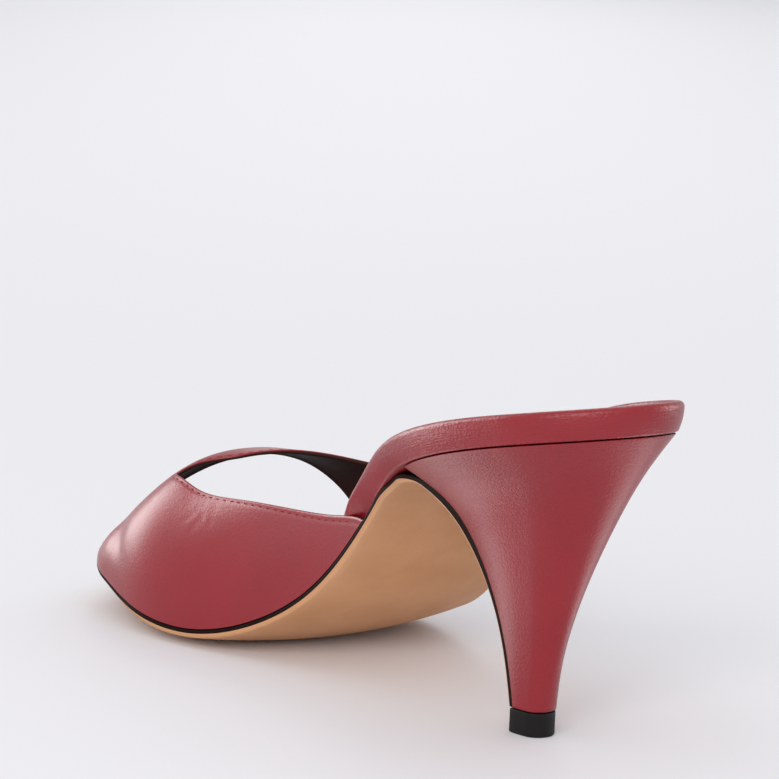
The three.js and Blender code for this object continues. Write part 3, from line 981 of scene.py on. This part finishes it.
CAMERA_PLACE = Vector((-567.4, 482.3, 219.3))
CAMERA_YAW = 0.623
CAMERA_PITCH = 0.1743
CAMERA_ROLL = 0.0392
FOCAL_PIXELS = 3304
FRAME_PIXELS = 779
SENSOR = 36

level_ahead = Vector((math.cos(CAMERA_YAW), -math.sin(CAMERA_YAW), 0))
level_right = Vector((-math.sin(CAMERA_YAW), -math.cos(CAMERA_YAW), 0))
ahead = level_ahead * math.cos(CAMERA_PITCH) - Vector((0, 0, math.sin(CAMERA_PITCH)))
above = level_right.cross(ahead)
right = level_right * math.cos(CAMERA_ROLL) + above * math.sin(CAMERA_ROLL)
up = above * math.cos(CAMERA_ROLL) - level_right * math.sin(CAMERA_ROLL)
camera = bpy.data.objects.new("camera", bpy.data.cameras.new("camera"))
camera.data.sensor_width = SENSOR
camera.data.lens = FOCAL_PIXELS * SENSOR / FRAME_PIXELS
camera.data.clip_start = 0.01
camera.data.clip_end = 50
placed = Matrix((right, up, -ahead)).transposed().to_4x4()
placed.translation = (CAMERA_PLACE - MODEL_ORIGIN) * MM
camera.matrix_world = placed
bpy.context.scene.collection.objects.link(camera)
bpy.context.scene.camera = camera

# Light. A softbox behind the camera, one overhead and a strip over the paper further back, in a pale room.
# Two cards beside the shoe and three small reflectors close to it show only as a sheen on the leather.

SHOE = (0, 0, 0.05)
ROOM = 0xF4F4F6
ROOM_STRENGTH = 0.8


def softbox(name, place, aim, width, length, power, lights_paper=True):
    """A soft area light. place and aim are metres to the camera's right, away from it and up.

    One that doesn't light the paper shows only as a sheen on the leather.
    """
    def spot(sideways, away, height):
        return level_right * sideways + level_ahead * away + Vector((0, 0, height))

    light = bpy.data.lights.new(name, "AREA")
    light.shape = "RECTANGLE"
    light.size = width
    light.size_y = length
    light.energy = power
    lamp = bpy.data.objects.new(name, light)
    lamp.location = spot(*place)
    lamp.visible_diffuse = lights_paper
    lamp.visible_camera = False
    lamp.rotation_mode = "QUATERNION"
    lamp.rotation_quaternion = (spot(*aim) - spot(*place)).to_track_quat("-Z", "Y")
    bpy.context.scene.collection.objects.link(lamp)


softbox("key", (-0.4, -1.6, 0.9), SHOE, 1.3, 0.8, 15)
softbox("overhead", (-0.2, -0.1, 1.7), SHOE, 1.8, 1.8, 2)
softbox("left card", (-1.08, 0.76, 0.46), SHOE, 0.7, 0.88, 13, lights_paper=False)
softbox("right card", (1.26, 0.34, 0.35), SHOE, 0.7, 0.7, 7, lights_paper=False)
softbox(
    "arch reflector", (-0.029, -0.031, 0.002), (-0.029, -0.030, 1), 0.045, 0.036, 0.011, lights_paper=False,
)
softbox(
    "rim reflector", (-0.10, -0.045, 0.052), (0, -0.055, 0.072), 0.06, 0.024, 0.022, lights_paper=False,
)
softbox(
    "heel reflector", (0.105, -0.058, 0.002), (0.105, -0.057, 1), 0.07, 0.06, 0.022, lights_paper=False,
)
softbox("background", (0.0, 2.0, 0.8), (0, 1.9, 0), 0.4, 2.8, 4.5)

world = bpy.data.worlds.new("studio")
world.use_nodes = True
world.node_tree.nodes["Background"].inputs["Color"].default_value = linear(ROOM)
world.node_tree.nodes["Background"].inputs["Strength"].default_value = ROOM_STRENGTH
bpy.context.scene.world = world
bpy.context.scene.view_settings.view_transform = "Standard"
